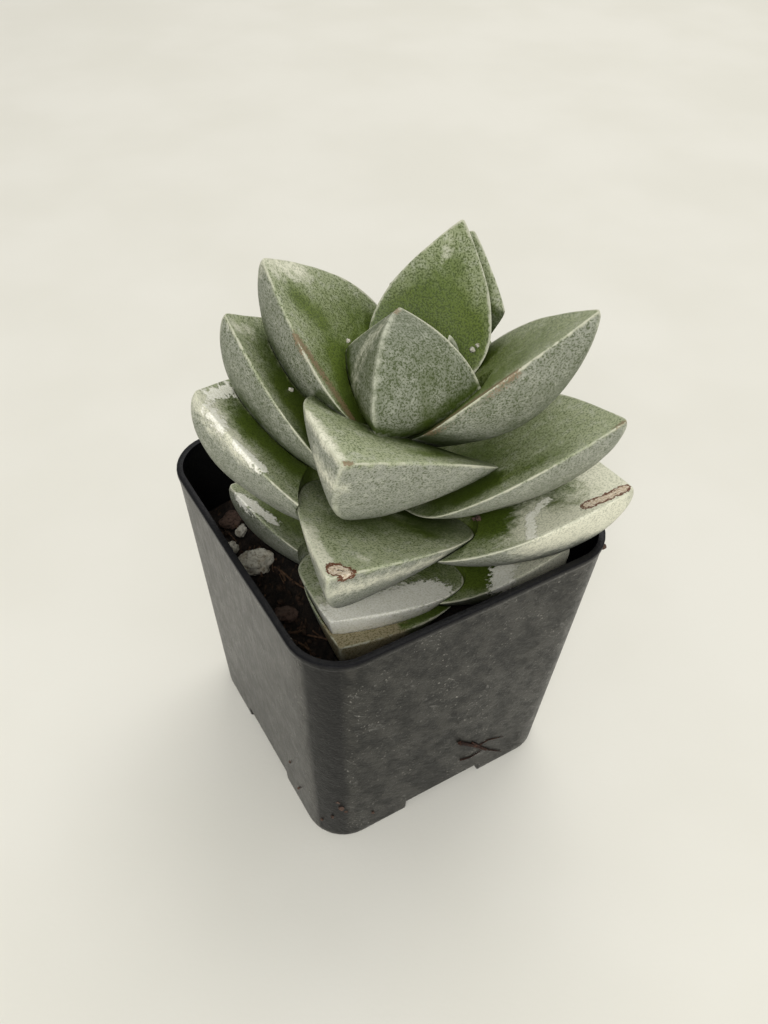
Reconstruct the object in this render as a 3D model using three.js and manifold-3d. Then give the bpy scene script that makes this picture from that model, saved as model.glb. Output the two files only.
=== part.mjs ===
// A succulent with thick keeled leaves in opposite pairs, growing in a square black nursery pot.
// Millimetres, +Z up. The origin is the centre of the pot's underside, and the pot's sides face X and Y.
// Leaves grow towards the pot's four corners: front is -X -Y, right +X -Y, back +X +Y and left -X +Y.

import * as THREE from 'three';
import { LoftGeometry } from 'three/addons/geometries/LoftGeometry.js';
import { mergeVertices } from 'three/addons/utils/BufferGeometryUtils.js';
import Module from 'manifold-3d';

const wasm = await Module();
wasm.setup();

// Driving dimensions.

const GAP = 0.3; // clearance between pieces that touch
const FAR = 300; // reach of a cutting block, past everything

const POT = {
  rimWidth: 58,
  baseWidth: 50.5,
  height: 58.5,
  rimCorner: 8.4,
  wall: 1,
  floor: 1.2,
  lipHeight: 1.2,
  lipProud: 0.25,
};

const STEP = { width: 17, depth: 8, height: 3 }; // raised step in the middle of each bottom edge
const DRAIN = { radius: 2.2, inset: 4.6 }; // drain hole in each step, inset from the pot's side

const SOIL = { belowRim: 15 };

const STEM = {
  x: 5,
  y: 2,
  radius: 2.2,
  tipAboveBud: 1, // rise of its tip above the base of the topmost leaf
  rootDepth: 26,
  topShare: 0.5, // share of the radius left at its tip
  rootShare: 0.4, // and at its buried end
};
const ROOT = { count: 5, radius: 0.9, reach: 15, drop: 9, start: 7, spacing: 2 };
const ROOT_BEND = { reach: 0.5, drop: 0.15 }; // how far out and down a root's curve is pulled

// Leaves, from the top of the rosette down. Height is that of the leaf's base above the soil and heading
// its compass direction, 0 along -Y and positive towards +X. The upper face rises at the pitch angles, in
// degrees, from base to tip. Roll turns the leaf about its length, sweep bends its tip sideways, a higher
// bluntness keeps the keel deep for longer, and pinch narrows the left half towards the base.
const LEAF_FIELDS = ['name', 'height', 'heading', 'basePitch', 'tipPitch', 'length', 'halfWidth', 'keel',
  'roll', 'sweep', 'bluntness', 'pinch'];
const LEAF_ROWS = [
  ['bud_leaf_right', 35, 44, 62, 88, 11, 5, 3.5, 0, 0, 3, 0],
  ['bud_leaf_left', 35, -134, 66, 88, 10, 5, 3.5, 0, 0, 3, 0],
  ['leaf_1_front', 33.5, -25, 76, 119, 16.7, 11.7, 15.2, -30, -2.5, 3, 0],
  ['leaf_1_back', 33, 128, 52, 75, 27, 10, 8, 4, -2, 3, 0],
  ['leaf_2_left', 31.5, -132, 57, 38, 31, 14.7, 13, 1, 1, 3.5, 0],
  ['leaf_2_right', 29.5, 42, 53, 37, 35, 13.3, 11.5, -6, 0, 3, 0],
  ['leaf_3_front', 27.2, -37, 48, -1, 30, 16.5, 15.5, -17, -7, 7.5, 0.5],
  ['leaf_3_back', 29.5, 129, 53, 56, 29, 13, 10, 1, -3, 3, 0],
  ['leaf_4_left', 22, -122, 43, 45, 36, 16.3, 12.5, 0, 0, 4, 0],
  ['leaf_4_right', 17.5, 39, 39, 26, 38, 16, 11, 0, 0, 4, 0],
  ['leaf_5_front', 12.5, -44, 37, 3, 36.5, 14.8, 13.5, -8, -3.5, 8, 0.15],
  ['leaf_5_back', 17.5, 134, 36, 24, 34, 15.5, 12.5, 0, 0, 4, 0],
  ['leaf_6_left', 17, -111, 31, 34, 37, 19, 14.5, -3, 0, 4.5, 0],
  ['leaf_6_right', 12.5, 38, 23, 19, 38, 18.3, 14.5, -1, 0, 4, 0],
  ['leaf_7_front', 1.5, -53, 19, 5, 27, 15.4, 13.5, 2, -1, 5, 0.6],
  ['leaf_7_back', 8.5, 128, 26, 20, 32, 16, 12, 0, 0, 4, 0],
  ['leaf_8_left', 1.5, -122, 18, 22, 30, 16, 11, 11, 0, 4, 0],
  ['leaf_8_right', 2, 38, 14, 20, 29, 16.3, 12.5, 0, 0, 5, 0],
  ['leaf_9_front', 1, -50, 8, 5, 28.5, 14.5, 14, 0, 0, 6, 0.3],
  ['leaf_9_back', 0, 131, 8, 6, 28, 15.5, 10, 0, 0, 4, 0],
];
const LEAF_FORM = {
  baseWidth: 0.6, // share of the half width at the base
  widest: 0.3, // share of the length where the leaf is widest
  taper: 1.8, // fullness of the outline towards the tip
  baseKeel: 0.6, // share of the keel's depth at the base
  deepest: 0.5, // share of the length where the keel is deepest
  keelTip: 0.75, // how steeply the keel rises to the tip; lower is blunter
  ridge: 1.4, // roundness of the keel's ridge
  flank: 0.9, // roundness of the flanks by the margins
  dish: 0.07, // hollow of the upper face, as a share of the half width
  pinchEnd: 0.65, // share of the length where a pinched leaf is back to its full width
  endAt: 0.985, // the tip is cut blunt just before the point
};
const LEAF_MESH = { stations: 9, around: 6 }; // sections along a leaf, and steps across each of its faces
const FACETS = { potCorner: 5, drain: 16, stem: 12, rootSteps: 4, rootCurve: 4, grainDetail: 1 };
const LEAF_COVER = 0.35; // room kept above a leaf, clear of the leaves below it, as a share of its length

// Loose grains on the soil: place from the pot's centre, and radius. Each kind has its flatness, and the
// share of its height that is sunk in the soil.
const GRAIN_NARROWING = 0.8;
const PERLITE = { squash: 0.75, sink: 0.35 };
const PERLITE_GRAINS = [
  [-21.5, 9, 3.4],
  [-23.2, 14.4, 1.6],
  [-20, 17.5, 1.5],
  [-24, -10, 1.2],
  [-9.5, 22.5, 1.8],
  [-1, 24.2, 1.5],
];
const BARK = { squash: 0.45, sink: 0.3 };
const BARK_CHIPS = [
  [-20.5, 21, 2.6],
  [-21.5, -4.5, 2.2],
  [4.5, 24, 2],
];

const LOOK = {
  pot: { color: 0x2b2b2a, roughness: 0.45 },
  soil: { color: 0x2a1c12, roughness: 1 },
  perlite: { color: 0xcfcab8, roughness: 0.95 },
  bark: { color: 0x4a2f1d, roughness: 0.95 },
  stem: { color: 0x7d6a4a, roughness: 0.9 },
  leaf: { color: 0x8d9c80, roughness: 0.7 },
};

const SOIL_TOP = POT.height - SOIL.belowRim;

// Solids.

function toSolid(geometry) {
  const bare = geometry.index ? geometry.toNonIndexed() : geometry.clone();
  bare.deleteAttribute('normal');
  bare.deleteAttribute('uv');
  const merged = mergeVertices(bare, 1e-4);
  const vertProperties = merged.attributes.position.array;
  const triVerts = new Uint32Array(merged.index.array);
  return new wasm.Manifold(new wasm.Mesh({ numProp: 3, vertProperties, triVerts }));
}

function toGeometry(solid) {
  const { vertProperties, triVerts } = solid.getMesh();
  const geometry = new THREE.BufferGeometry();
  geometry.setAttribute('position', new THREE.BufferAttribute(vertProperties, 3));
  geometry.setIndex(new THREE.BufferAttribute(triVerts, 1));
  geometry.computeVertexNormals();
  return geometry;
}

function piece(name, solid, look) {
  const mesh = new THREE.Mesh(toGeometry(solid), new THREE.MeshStandardMaterial(look));
  mesh.name = name;
  return mesh;
}

function box(width, depth, height, x, y, z) {
  return toSolid(new THREE.BoxGeometry(width, depth, height).translate(x, y, z));
}

// Pot.

function roundedSquare(width, corner) {
  const half = width / 2;
  const run = half - corner;
  const outline = new THREE.Shape();
  outline.absarc(run, run, corner, 0, Math.PI / 2);
  outline.absarc(-run, run, corner, Math.PI / 2, Math.PI);
  outline.absarc(-run, -run, corner, Math.PI, 1.5 * Math.PI);
  outline.absarc(run, -run, corner, 1.5 * Math.PI, 2 * Math.PI);
  return outline;
}

// The pot's width at a height, on the outside of its tapering wall.
function potWidth(z) {
  return THREE.MathUtils.mapLinear(z, 0, POT.height, POT.baseWidth, POT.rimWidth - 2 * POT.lipProud);
}

// A block that tapers with the pot, set in from its outside all round.
function taperedBlock(inset, bottom, top) {
  const topWidth = potWidth(top) - 2 * inset;
  const shrink = (potWidth(bottom) - 2 * inset) / topWidth;
  const corner = POT.rimCorner - inset;
  const geometry = new THREE.ExtrudeGeometry(roundedSquare(topWidth, corner), {
    depth: top - bottom,
    bevelEnabled: false,
    curveSegments: FACETS.potCorner,
  });
  const position = geometry.attributes.position;
  for (let i = 0; i < position.count; i++) {
    const share = position.getZ(i) / (top - bottom);
    const scale = THREE.MathUtils.lerp(shrink, 1, share);
    position.setXY(i, position.getX(i) * scale, position.getY(i) * scale);
  }
  return toSolid(geometry.translate(0, 0, bottom));
}

// The four raised steps under the bottom edges, grown by a margin.
function stepBlocks(margin) {
  const half = POT.baseWidth / 2;
  const reach = half - STEP.depth - margin;
  const long = FAR - reach;
  const wide = STEP.width + 2 * margin;
  const tall = STEP.height + margin + FAR;
  const z = STEP.height + margin - tall / 2;
  const middle = reach + long / 2;
  return box(long, wide, tall, middle, 0, z)
    .add(box(long, wide, tall, -middle, 0, z))
    .add(box(wide, long, tall, 0, middle, z))
    .add(box(wide, long, tall, 0, -middle, z));
}

// The room inside the pot up to a height, less a clearance all round.
function cavity(clearance, top) {
  const inset = POT.wall + clearance;
  return taperedBlock(inset, POT.floor + clearance, top).subtract(stepBlocks(inset));
}

function drainHoles() {
  const at = POT.baseWidth / 2 - DRAIN.inset;
  const length = 4 * POT.floor;
  const hole = (x, y) => {
    const drill = new THREE.CylinderGeometry(DRAIN.radius, DRAIN.radius, length, FACETS.drain);
    return toSolid(drill.rotateX(Math.PI / 2).translate(x, y, STEP.height + POT.wall / 2));
  };
  return hole(at, 0).add(hole(-at, 0)).add(hole(0, at)).add(hole(0, -at));
}

function potSolid() {
  const lip = taperedBlock(-POT.lipProud, POT.height - POT.lipHeight, POT.height);
  return taperedBlock(0, 0, POT.height)
    .add(lip)
    .subtract(cavity(0, POT.height + POT.lipHeight))
    .subtract(stepBlocks(0))
    .subtract(drainHoles());
}

// Leaves.

const LEAVES = LEAF_ROWS.map((row) => Object.fromEntries(LEAF_FIELDS.map((field, i) => [field, row[i]])));

function widthShare(t) {
  const { baseWidth, widest, taper } = LEAF_FORM;
  if (t < widest) return baseWidth + (1 - baseWidth) * Math.sin((Math.PI / 2) * (t / widest));
  return 1 - ((t - widest) / (1 - widest)) ** taper;
}

function keelShare(t, bluntness) {
  const { baseKeel, deepest, keelTip } = LEAF_FORM;
  const swell = baseKeel + (1 - baseKeel) * Math.sin((Math.PI / 2) * Math.min(t / deepest, 1));
  return swell * (1 - t ** bluntness) ** keelTip;
}

// The leaf's line along the middle of its upper face: points with the across and up directions there.
function leafStations(leaf, fromStem) {
  const heading = THREE.MathUtils.degToRad(leaf.heading);
  const roll = THREE.MathUtils.degToRad(leaf.roll);
  const out = new THREE.Vector3(Math.sin(heading), -Math.cos(heading), 0);
  const side = new THREE.Vector3(0, 0, 1).cross(out);
  const point = new THREE.Vector3(STEM.x, STEM.y, SOIL_TOP + leaf.height).addScaledVector(out, fromStem);
  const stations = [];
  const count = LEAF_MESH.stations;
  const stepLength = (leaf.length / count) * LEAF_FORM.endAt;
  for (let i = 0; i <= count; i++) {
    const t = (i / count) * LEAF_FORM.endAt;
    const pitch = THREE.MathUtils.degToRad(THREE.MathUtils.lerp(leaf.basePitch, leaf.tipPitch, t));
    const along = out.clone().multiplyScalar(Math.cos(pitch)).setZ(Math.sin(pitch));
    const across = side.clone().applyAxisAngle(along, roll);
    const up = along.clone().cross(across);
    const swept = point.clone().addScaledVector(across, leaf.sweep * t * t);
    stations.push({ t, point: swept, across, up, along });
    point.addScaledVector(along, stepLength);
  }
  return stations;
}

// One ring of the leaf's skin. Grow swells it all round, and cover lifts its upper face by that depth.
function leafRing(leaf, station, grow, cover) {
  const { t, point, across, up } = station;
  const half = leaf.halfWidth * widthShare(t);
  const keel = leaf.keel * keelShare(t, leaf.bluntness);
  const dish = cover > 0 ? 0 : LEAF_FORM.dish * half;
  const leftHalf = half * (1 - leaf.pinch * Math.max(0, 1 - t / LEAF_FORM.pinchEnd));
  const ring = [];
  const count = 2 * LEAF_MESH.around;
  for (let i = 0; i < count; i++) {
    const angle = (2 * Math.PI * i) / count;
    const share = Math.cos(angle);
    const crown = (1 - Math.abs(share) ** LEAF_FORM.ridge) ** LEAF_FORM.flank;
    const isUpper = i > 0 && i < LEAF_MESH.around;
    const lift = isUpper ? cover + grow - dish * (1 - share * share) : -keel * crown - grow;
    const level = i % LEAF_MESH.around === 0 ? 0 : lift;
    const reach = share < 0 ? leftHalf : half;
    ring.push(
      point
        .clone()
        .addScaledVector(across, share * (reach + grow))
        .addScaledVector(up, level),
    );
  }
  return ring;
}

function leafSolid(leaf, grow, cover) {
  const stations = leafStations(leaf, STEM.radius + GAP);
  const first = stations[0];
  const last = stations.at(-1);
  const ends = [first, ...stations, last].map((station) => ({ ...station, point: station.point.clone() }));
  ends[0].point.addScaledVector(first.along, -grow);
  ends.at(-1).point.addScaledVector(last.along, grow);
  const used = grow > 0 ? ends : stations;
  const rings = used.map((station) => leafRing(leaf, station, grow, cover));
  return toSolid(new LoftGeometry(rings, { capStart: true, capEnd: true }));
}

// The leaf with its clearance and the room above it, as lower pieces see it.
function leafCover(leaf) {
  return leafSolid(leaf, GAP, LEAF_COVER * leaf.length);
}

// Everything below the rim that isn't the pot's free room, which presses a low leaf flat.
function potKeepOut() {
  const top = POT.height + GAP;
  return box(FAR, FAR, 2 * top, 0, 0, 0).subtract(cavity(GAP, top + GAP));
}

// Each leaf gives way to the leaves above it, to the stem and to the pot.
function leafSolids(stem) {
  const keepOut = potKeepOut();
  const above = [];
  return LEAVES.map((leaf) => {
    let solid = leafSolid(leaf, 0, 0).subtract(keepOut).subtract(stem);
    for (const cover of above) solid = solid.subtract(cover);
    above.push(leafCover(leaf));
    return { name: leaf.name, solid };
  });
}

// Stem and roots, grown as one piece. Grow swells it to cut its room in what surrounds it.

function stemSolid(grow) {
  const top = SOIL_TOP + Math.max(...LEAVES.map((leaf) => leaf.height)) + STEM.tipAboveBud;
  const bottom = SOIL_TOP - STEM.rootDepth;
  const profile = [
    new THREE.Vector2(0, bottom - grow),
    new THREE.Vector2(STEM.rootShare * STEM.radius + grow, bottom - grow),
    new THREE.Vector2(STEM.radius + grow, SOIL_TOP - 2 * STEM.radius),
    new THREE.Vector2(STEM.radius + grow, top - 2 * STEM.radius),
    new THREE.Vector2(STEM.topShare * STEM.radius + grow, top + grow),
    new THREE.Vector2(0, top + grow),
  ];
  const shaft = new THREE.LatheGeometry(profile, FACETS.stem).rotateX(Math.PI / 2);
  return toSolid(shaft.translate(STEM.x, STEM.y, 0));
}

function rootSolid(index, grow) {
  const angle = (2 * Math.PI * index) / ROOT.count;
  const start = SOIL_TOP - ROOT.start - ROOT.spacing * index;
  const place = (distance, drop) =>
    new THREE.Vector3(
      STEM.x + distance * Math.cos(angle),
      STEM.y + distance * Math.sin(angle),
      start - drop,
    );
  const reach = ROOT.reach + grow;
  const path = new THREE.QuadraticBezierCurve3(
    place(0, 0),
    place(ROOT_BEND.reach * reach, ROOT_BEND.drop * ROOT.drop),
    place(reach, ROOT.drop),
  );
  const section = new THREE.Shape().absarc(0, 0, ROOT.radius + grow, 0, 2 * Math.PI);
  const options = { steps: FACETS.rootSteps, curveSegments: FACETS.rootCurve, extrudePath: path };
  return toSolid(new THREE.ExtrudeGeometry(section, options));
}

function stemWithRoots(grow) {
  let solid = stemSolid(grow);
  for (let i = 0; i < ROOT.count; i++) solid = solid.add(rootSolid(i, grow));
  return solid;
}

// Soil and grains.

function grainSolid([x, y, radius], { squash, sink }, grow) {
  const geometry = new THREE.IcosahedronGeometry(radius + grow, FACETS.grainDetail);
  geometry.scale(1, GRAIN_NARROWING, squash).rotateZ(x + y);
  return toSolid(geometry.translate(x, y, SOIL_TOP + (0.5 - sink) * 2 * radius * squash));
}

function soilSolid(leaves) {
  let solid = cavity(GAP, SOIL_TOP).subtract(stemWithRoots(GAP));
  for (const leaf of LEAVES) solid = solid.subtract(leafCover(leaf));
  for (const grain of PERLITE_GRAINS) solid = solid.subtract(grainSolid(grain, PERLITE, GAP));
  for (const chip of BARK_CHIPS) solid = solid.subtract(grainSolid(chip, BARK, GAP));
  return solid;
}

// The whole plant in its pot.

const pot = new THREE.Group();
pot.add(piece('pot', potSolid(), LOOK.pot));
pot.add(piece('soil', soilSolid(), LOOK.soil));
PERLITE_GRAINS.forEach((grain, i) => {
  pot.add(piece(`perlite_${i + 1}`, grainSolid(grain, PERLITE, 0), LOOK.perlite));
});
BARK_CHIPS.forEach((chip, i) => {
  pot.add(piece(`bark_${i + 1}`, grainSolid(chip, BARK, 0), LOOK.bark));
});

const plant = new THREE.Group();
plant.add(piece('stem_with_roots', stemWithRoots(0), LOOK.stem));
for (const { name, solid } of leafSolids(stemWithRoots(GAP))) {
  plant.add(piece(name, solid, LOOK.leaf));
}

const group = new THREE.Group();
group.add(pot, plant);

export default group;
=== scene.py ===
import math

import bmesh
import bpy
import numpy as np
from mathutils import Matrix, Vector, noise
from mathutils.bvhtree import BVHTree


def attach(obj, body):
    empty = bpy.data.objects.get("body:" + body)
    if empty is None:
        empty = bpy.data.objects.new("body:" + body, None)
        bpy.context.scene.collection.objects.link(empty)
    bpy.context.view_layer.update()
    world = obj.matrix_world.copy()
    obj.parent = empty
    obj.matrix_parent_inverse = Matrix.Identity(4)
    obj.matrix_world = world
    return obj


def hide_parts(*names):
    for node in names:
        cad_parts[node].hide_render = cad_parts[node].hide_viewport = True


# A succulent with thick keeled leaves in a square black nursery pot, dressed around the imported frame.
# Sizes and places are millimetres, and MM turns them to metres as each mesh, light or camera is made.

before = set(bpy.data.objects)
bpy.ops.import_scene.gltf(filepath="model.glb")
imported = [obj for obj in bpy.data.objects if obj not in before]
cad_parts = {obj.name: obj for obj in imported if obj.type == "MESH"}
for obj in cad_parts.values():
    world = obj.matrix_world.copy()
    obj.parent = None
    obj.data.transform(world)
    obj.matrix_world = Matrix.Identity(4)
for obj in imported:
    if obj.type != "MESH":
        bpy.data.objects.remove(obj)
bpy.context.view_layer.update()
MM = 0.001
UP = Vector((0, 0, 1))


# -------- sizes shared with the CAD model

POT = dict(rim_width=58, base_width=50.5, height=58.5, rim_corner=8.4, wall=1, floor=1.2, lip_proud=0.25)
STEP = dict(width=17, depth=8, height=3)
DRAIN = dict(radius=2.2, inset=4.6)
STEM = dict(x=5, y=2, radius=2.2, tip_above_bud=1, root_depth=26, top_share=0.5, root_share=0.4)
ROOT = dict(count=5, radius=0.9, reach=15, drop=9, start=7, spacing=2, bend_reach=0.5, bend_drop=0.15)
SOIL_TOP = POT["height"] - 15
CAD_GAP = 0.3

# From the top of the rosette down. Height is that of the leaf's base above the soil and heading its
# compass direction, 0 along -Y. Pitches are degrees, and roll turns the leaf about its length.
LEAF_FIELDS = ("name", "height", "heading", "base_pitch", "tip_pitch", "length", "half_width", "keel",
               "roll", "sweep", "bluntness", "pinch")
LEAF_ROWS = (
    ("bud_leaf_right", 35, 44, 62, 88, 11, 5, 3.5, 0, 0, 3, 0),
    ("bud_leaf_left", 35, -134, 66, 88, 10, 5, 3.5, 0, 0, 3, 0),
    ("leaf_1_front", 33.5, -25, 76, 119, 16.7, 11.7, 15.2, -30, -2.5, 3, 0),
    ("leaf_1_back", 33, 128, 52, 75, 27, 10, 8, 4, -2, 3, 0),
    ("leaf_2_left", 31.5, -132, 57, 38, 31, 14.7, 13, 1, 1, 3.5, 0),
    ("leaf_2_right", 29.5, 42, 53, 37, 35, 13.3, 11.5, -6, 0, 3, 0),
    ("leaf_3_front", 27.2, -37, 48, -1, 30, 16.5, 15.5, -17, -7, 7.5, 0.5),
    ("leaf_3_back", 29.5, 129, 53, 56, 29, 13, 10, 1, -3, 3, 0),
    ("leaf_4_left", 22, -122, 43, 45, 36, 16.3, 12.5, 0, 0, 4, 0),
    ("leaf_4_right", 17.5, 39, 39, 26, 38, 16, 11, 0, 0, 4, 0),
    ("leaf_5_front", 12.5, -44, 37, 3, 36.5, 14.8, 13.5, -8, -3.5, 8, 0.15),
    ("leaf_5_back", 17.5, 134, 36, 24, 34, 15.5, 12.5, 0, 0, 4, 0),
    ("leaf_6_left", 17, -111, 31, 34, 37, 19, 14.5, -3, 0, 4.5, 0),
    ("leaf_6_right", 12.5, 38, 23, 19, 38, 18.3, 14.5, -1, 0, 4, 0),
    ("leaf_7_front", 1.5, -53, 19, 5, 27, 15.4, 13.5, 2, -1, 5, 0.6),
    ("leaf_7_back", 8.5, 128, 26, 20, 32, 16, 12, 0, 0, 4, 0),
    ("leaf_8_left", 1.5, -122, 18, 22, 30, 16, 11, 11, 0, 4, 0),
    ("leaf_8_right", 2, 38, 14, 20, 29, 16.3, 12.5, 0, 0, 5, 0),
    ("leaf_9_front", 1, -50, 8, 5, 28.5, 14.5, 14, 0, 0, 6, 0.3),
    ("leaf_9_back", 0, 131, 8, 6, 28, 15.5, 10, 0, 0, 4, 0),
)
LEAVES = [dict(zip(LEAF_FIELDS, row)) for row in LEAF_ROWS]
LEAF_FORM = dict(base_width=0.6, widest=0.3, taper=1.8, base_keel=0.6, deepest=0.5, keel_tip=0.75,
                 ridge=1.4, flank=0.9, dish=0.07, pinch_end=0.65)
LEAF_COVER = 0.35  # how far a leaf keeps lower leaves away above it, as a share of its length

# Loose grains on the soil: x, y and radius. Each is flattened by squash and sunk by a share of its height.
PERLITE_GRAINS = ((-21.5, 9, 3.4), (-23.2, 14.4, 1.6), (-20, 17.5, 1.5), (-24, -10, 1.2),
                  (-9.5, 22.5, 1.8), (-1, 24.2, 1.5))
BARK_CHIPS = ((-20.5, 21, 2.6), (-21.5, -4.5, 2.2), (4.5, 24, 2))
PERLITE = dict(squash=0.75, sink=0.35)
BARK = dict(squash=0.45, sink=0.3)

# -------- sizes of this script's own

LEAF_END = 0.996  # the tip is closed just before the point
LEAF_LAG = 0.985 / 9 / 2  # the CAD leaf's line bends in nine straight steps, half a step late
LEAF_STATIONS = 56
LEAF_AROUND = 24
COVER_STATIONS = 40
COVER_AROUND = 16
LEAF_GAP = 0.12
MARGIN_BEVEL = 0.75
BEVEL_END = 4  # stations short of the tip where the bevel stops
TIP_ROUNDING = 24  # passes that soften a leaf's tip
LEAF_LUMPS = ((9, 0.22), (4, 0.08))  # size and height of the swellings in a leaf's skin
SHADE_REACH = 5  # how near another leaf must stand to paint shade on the skin
SHARP_EDGE = math.radians(50)
CRISP_RIDGE = {"leaf_1_front": 1.12}  # leaves whose keel has a sharper ridge than the rest

# How whole each leaf's powdery bloom is: 0 is a full coat, and less is thinner.
USUAL_BLOOM = -0.15
LEAF_BLOOM = dict(
    bud_leaf_right=-0.45, bud_leaf_left=-0.45, leaf_1_front=-0.42, leaf_1_back=-0.46,
    leaf_2_left=-0.22, leaf_2_right=-0.26, leaf_3_front=0, leaf_3_back=-0.3, leaf_4_left=-0.22,
    leaf_4_right=-0.06, leaf_5_front=0.08, leaf_6_left=-0.1, leaf_6_right=0, leaf_7_front=-0.1,
    leaf_8_right=-0.3, leaf_9_front=-0.2,
)

# Marks on the leaves. Each runs on the upper or lower face from one place to another, given as shares along
# and across the leaf, and has a radius in millimetres and a strength.
MARK_KINDS = ("crust", "film", "rub", "rust", "scar", "tan")
MARKS = {
    "leaf_1_front": (
        ("rust", "lower", (0.99, 0), (0.97, 0.1), 1.1, 0.9),
        ("rub", "lower", (0.25, 0.5), (0.55, 0.6), 4, 0.35),
        ("film", "lower", (0.35, -0.6), (0.85, -0.5), 5.5, 0.4),
    ),
    "leaf_1_back": (
        ("rub", "upper", (0.36, -0.5), (0.4, 0.3), 5.5, 0.9),
        ("film", "upper", (0.75, 0.2), (0.88, 0.3), 3, 0.2),
    ),
    "leaf_2_left": (
        ("rust", "upper", (0.2, 0.98), (0.68, 0.98), 1.5, 1),
        ("rub", "upper", (0.74, 0.15), (0.6, 0.05), 3.2, 0.8),
        ("rub", "upper", (0.42, 0.3), (0.3, 0.5), 4, 0.7),
        ("film", "upper", (0.8, -0.7), (0.95, -0.3), 3.5, 0.7),
    ),
    "leaf_2_right": (
        ("rust", "upper", (0.22, -0.98), (0.66, -0.96), 1.7, 1),
    ),
    "leaf_3_front": (
        ("rust", "upper", (0.985, 0.3), (0.97, 0.6), 0.9, 0.9),
        ("film", "upper", (0.7, -0.97), (0.95, -0.7), 1.5, 0.9),
        ("film", "lower", (0.8, -0.7), (0.95, -0.3), 4, 0.6),
        ("rub", "upper", (0.64, 0.5), (0.5, 0.6), 2.6, 0.6),
    ),
    "leaf_4_left": (
        ("rub", "upper", (0.42, 0.6), (0.62, 0.5), 4.5, 0.8),
        ("film", "upper", (0.85, -0.2), (0.93, 0.2), 2.5, 0.5),
    ),
    "leaf_4_right": (
        ("rub", "upper", (0.35, -0.7), (0.75, -0.6), 4.5, 0.5),
        ("rust", "upper", (0.98, -0.2), (0.95, -0.7), 0.9, 0.8),
    ),
    "leaf_5_front": (
        ("scar", "upper", (0.93, 0.05), (0.93, 0.6), 1.6, 1),
        ("film", "upper", (0.74, -0.9), (0.95, -0.5), 2.4, 0.8),
        ("film", "lower", (0.55, 0.9), (0.95, 0.5), 3, 0.7),
        ("film", "upper", (0.8, 0.37), (0.81, 0.37), 1.8, 0.6),
        ("rub", "upper", (0.35, 0), (0.45, 0.6), 4, 0.5),
    ),
    "leaf_6_right": (
        ("film", "upper", (0.64, -0.6), (0.88, -0.7), 5, 1.5),
        ("film", "upper", (0.78, 0.6), (0.93, 0.3), 4, 1.2),
        ("film", "lower", (0.72, -0.85), (0.93, -0.5), 4, 1.4),
        ("rub", "upper", (0.7, -0.35), (0.78, -0.4), 3, 1.1),
        ("rub", "upper", (0.2, -0.4), (0.48, -0.5), 5, 0.8),
        ("crust", "upper", (0.63, -0.12), (0.59, -0.42), 1, 0.8),
        ("crust", "upper", (0.59, -0.42), (0.64, -0.9), 1.1, 0.85),
        ("scar", "upper", (0.82, -0.5), (0.95, 0.05), 1.3, 0.9),
    ),
    "leaf_6_left": (
        ("crust", "upper", (0.92, -0.3), (0.82, -0.6), 2.4, 0.6),
        ("crust", "upper", (0.92, 0.6), (0.86, 0.8), 2.4, 0.6),
        ("crust", "upper", (0.8, 0.93), (0.68, 0.87), 1.2, 1),
        ("film", "upper", (0.94, 0.2), (0.78, 0.9), 4, 0.9),
        ("rub", "upper", (0.72, 0.2), (0.4, 0.3), 5, 0.9),
    ),
    "leaf_7_front": (
        ("crust", "upper", (0.45, 0.75), (0.92, 0.3), 3.6, 1.2),
        ("film", "upper", (0.6, 0.6), (0.95, 0.2), 5, 1.2),
        ("film", "lower", (0.6, 0.7), (0.95, 0.1), 6.5, 1.3),
    ),
    "leaf_8_left": (
        ("crust", "upper", (0.91, 0.66), (0.72, 0.62), 1.6, 1),
        ("rub", "upper", (0.65, 0.2), (0.3, 0.2), 6, 0.9),
    ),
    "leaf_8_right": (
        ("crust", "upper", (0.64, -0.5), (0.68, -0.95), 2.4, 1),
        ("film", "upper", (0.76, -0.7), (0.93, -0.8), 4, 1.6),
        ("rub", "upper", (0.55, -0.6), (0.25, -0.3), 6, 0.9),
    ),
    "leaf_9_front": (
        ("tan", "lower", (0.97, -0.3), (0.86, 0.8), 5, 1.4),
        ("rub", "lower", (0.72, 0.9), (0.45, 0.9), 5, 0.9),
    ),
    "leaf_3_back": (
        ("rub", "upper", (0.3, 0.2), (0.5, 0.3), 4, 0.6),
    ),
    "leaf_5_back": (
        ("film", "lower", (0.5, 0.4), (0.8, 0.2), 4, 0.5),
        ("crust", "upper", (0.88, -0.4), (0.92, 0.3), 1.8, 0.7),
    ),
    "leaf_7_back": (
        ("scar", "upper", (0.84, 0.3), (0.86, 0.5), 1.2, 1),
        ("film", "upper", (0.7, -0.6), (0.9, 0), 3.5, 0.8),
    ),
    "leaf_9_back": (
        ("tan", "lower", (0.9, -0.4), (0.85, 0.6), 3.5, 0.9),
    ),
}

POT_EDGE = math.radians(35)
WALL_BOW = dict(usual=0.12, wobble=0.35, size=22)
FOOT_ROUNDING = {0: 0.45, 0.15: 0.15, 0.5: 0}  # height and inset of the pot's bottom edge
RIM_DROPS = ((1.25, 0), (1.1, 0.7), (0.9, 1), (0.35, 1), (0.1, 0.5))  # drop below the rim, share of the lip
LIP = POT["lip_proud"] * 0.6  # leaves room for the bow

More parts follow.
